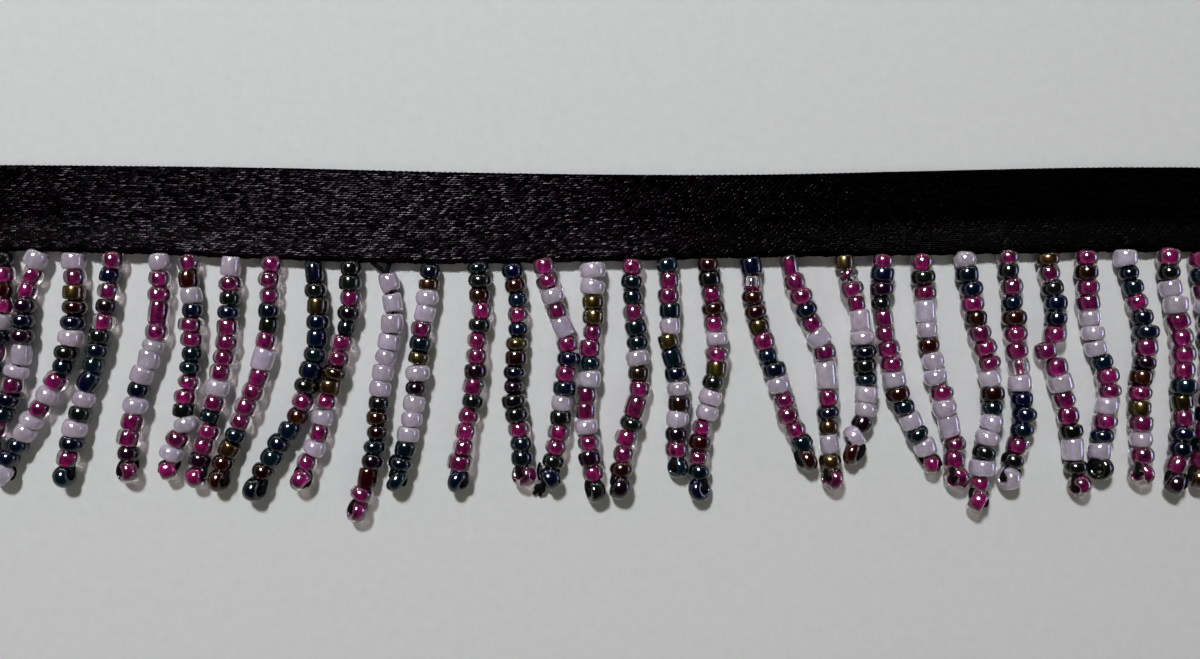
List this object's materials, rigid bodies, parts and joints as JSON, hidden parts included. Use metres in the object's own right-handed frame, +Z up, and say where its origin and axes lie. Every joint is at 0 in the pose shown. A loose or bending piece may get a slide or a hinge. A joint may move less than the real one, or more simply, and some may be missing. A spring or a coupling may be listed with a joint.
{
  "type": "beaded ribbon trim",
  "caption": "Cut length of dark satin ribbon lying flat, with a fringe of threaded glass seed bead strands hanging from one edge.",
  "frame": {"origin": "middle of the ribbon's flat underside, half way along the cut length, on the surface it lies on", "axes": "+X along the ribbon, -Y from the plain edge to the fringed edge and along the hanging strands, +Z up off the surface"},
  "size_m": [0.1518, 0.0404, 0.0025],
  "materials": {
    "ribbon": "black plum satin weave with short pale floats",
    "beads_pink": "clear glass bead with a magenta lined hole",
    "beads_lilac": "pearly lilac opal glass",
    "beads_dark": "dark glass with a metallic iris coat in navy, teal, olive, brown and plum",
    "thread": "black twisted sewing thread"
  },
  "bodies": {
    "root": {"ribbon": "ribbon", "fringe": "beads_pink"}
  },
  "joints": []
}
